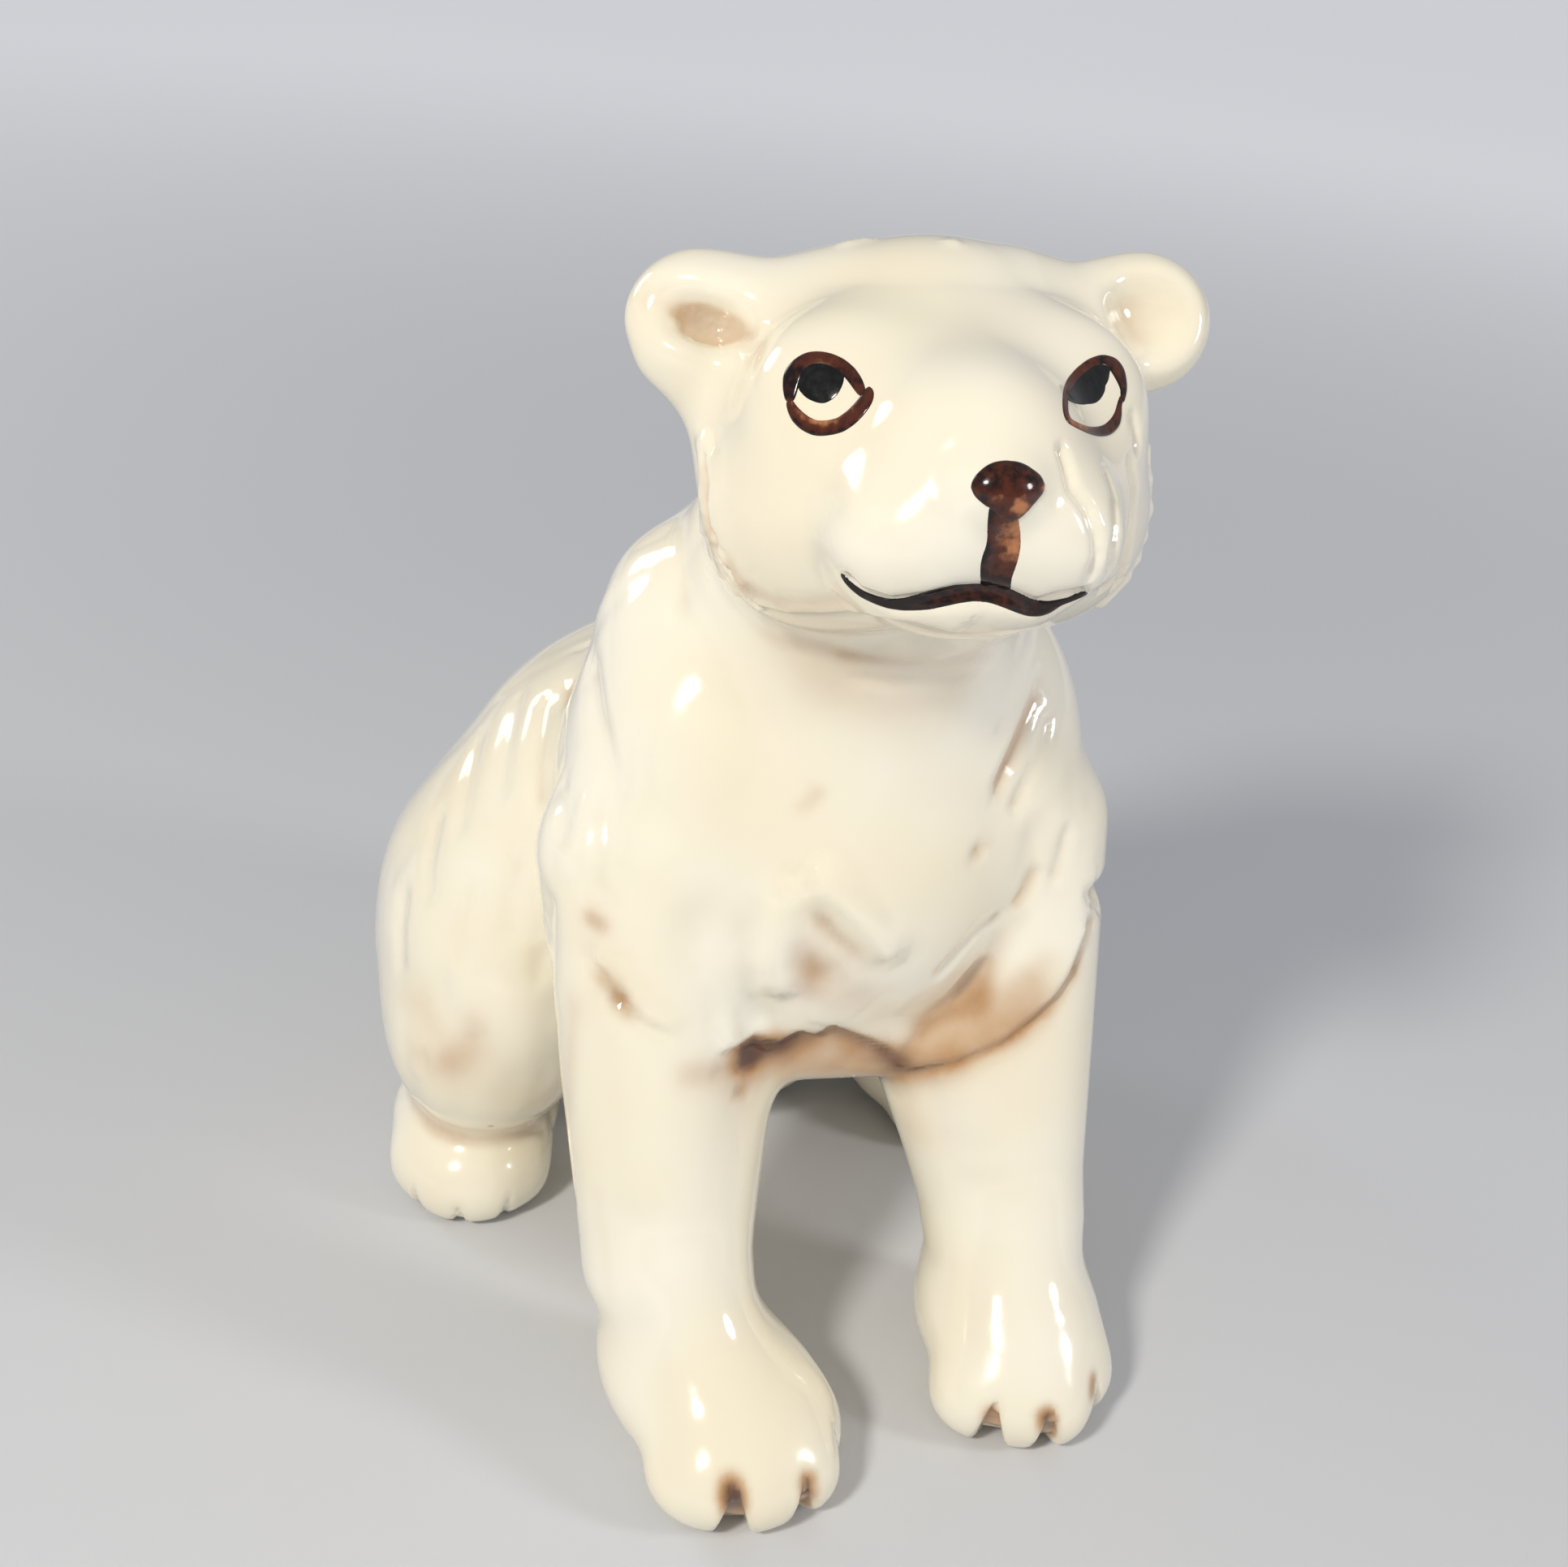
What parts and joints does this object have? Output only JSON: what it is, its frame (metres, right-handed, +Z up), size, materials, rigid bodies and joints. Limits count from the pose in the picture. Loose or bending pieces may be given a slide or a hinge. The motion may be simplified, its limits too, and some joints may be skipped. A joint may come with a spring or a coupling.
{
  "type": "polar bear figurine",
  "caption": "Sitting polar bear cub in glazed, hollow-cast porcelain, head turned and raised, with painted eyes, nose and mouth.",
  "frame": {"origin": "on the surface that it stands on, under the middle of its outline", "axes": "+Z up, +X to the cub's own left, the cub faces -Y with its head turned a little towards -X"},
  "size_m": [0.0758, 0.1012, 0.1121],
  "materials": {
    "glazed_porcelain": "clear gloss glaze over an ivory white body",
    "joining_slip": "matt fired slip",
    "brown_enamel": "glossy hand-brushed enamel",
    "black_enamel": "glossy hand-brushed enamel"
  },
  "bodies": {
    "root": {"head_casting": "glazed_porcelain", "left_ear": "glazed_porcelain", "right_ear": "glazed_porcelain", "torso_casting": "glazed_porcelain", "left_foreleg": "glazed_porcelain", "right_foreleg": "glazed_porcelain", "left_hind_paw": "glazed_porcelain", "right_hind_paw": "glazed_porcelain", "tail": "glazed_porcelain", "neck_slip": "joining_slip", "left_ear_slip": "joining_slip", "right_ear_slip": "joining_slip", "left_foreleg_slip": "joining_slip", "right_foreleg_slip": "joining_slip", "left_hind_paw_slip": "joining_slip", "right_hind_paw_slip": "joining_slip", "tail_slip": "joining_slip", "left_eye_outline": "brown_enamel", "right_eye_outline": "brown_enamel", "left_pupil": "black_enamel", "right_pupil": "black_enamel", "nose_enamel": "brown_enamel", "philtrum_enamel": "brown_enamel", "mouth_enamel": "black_enamel"}
  },
  "joints": []
}
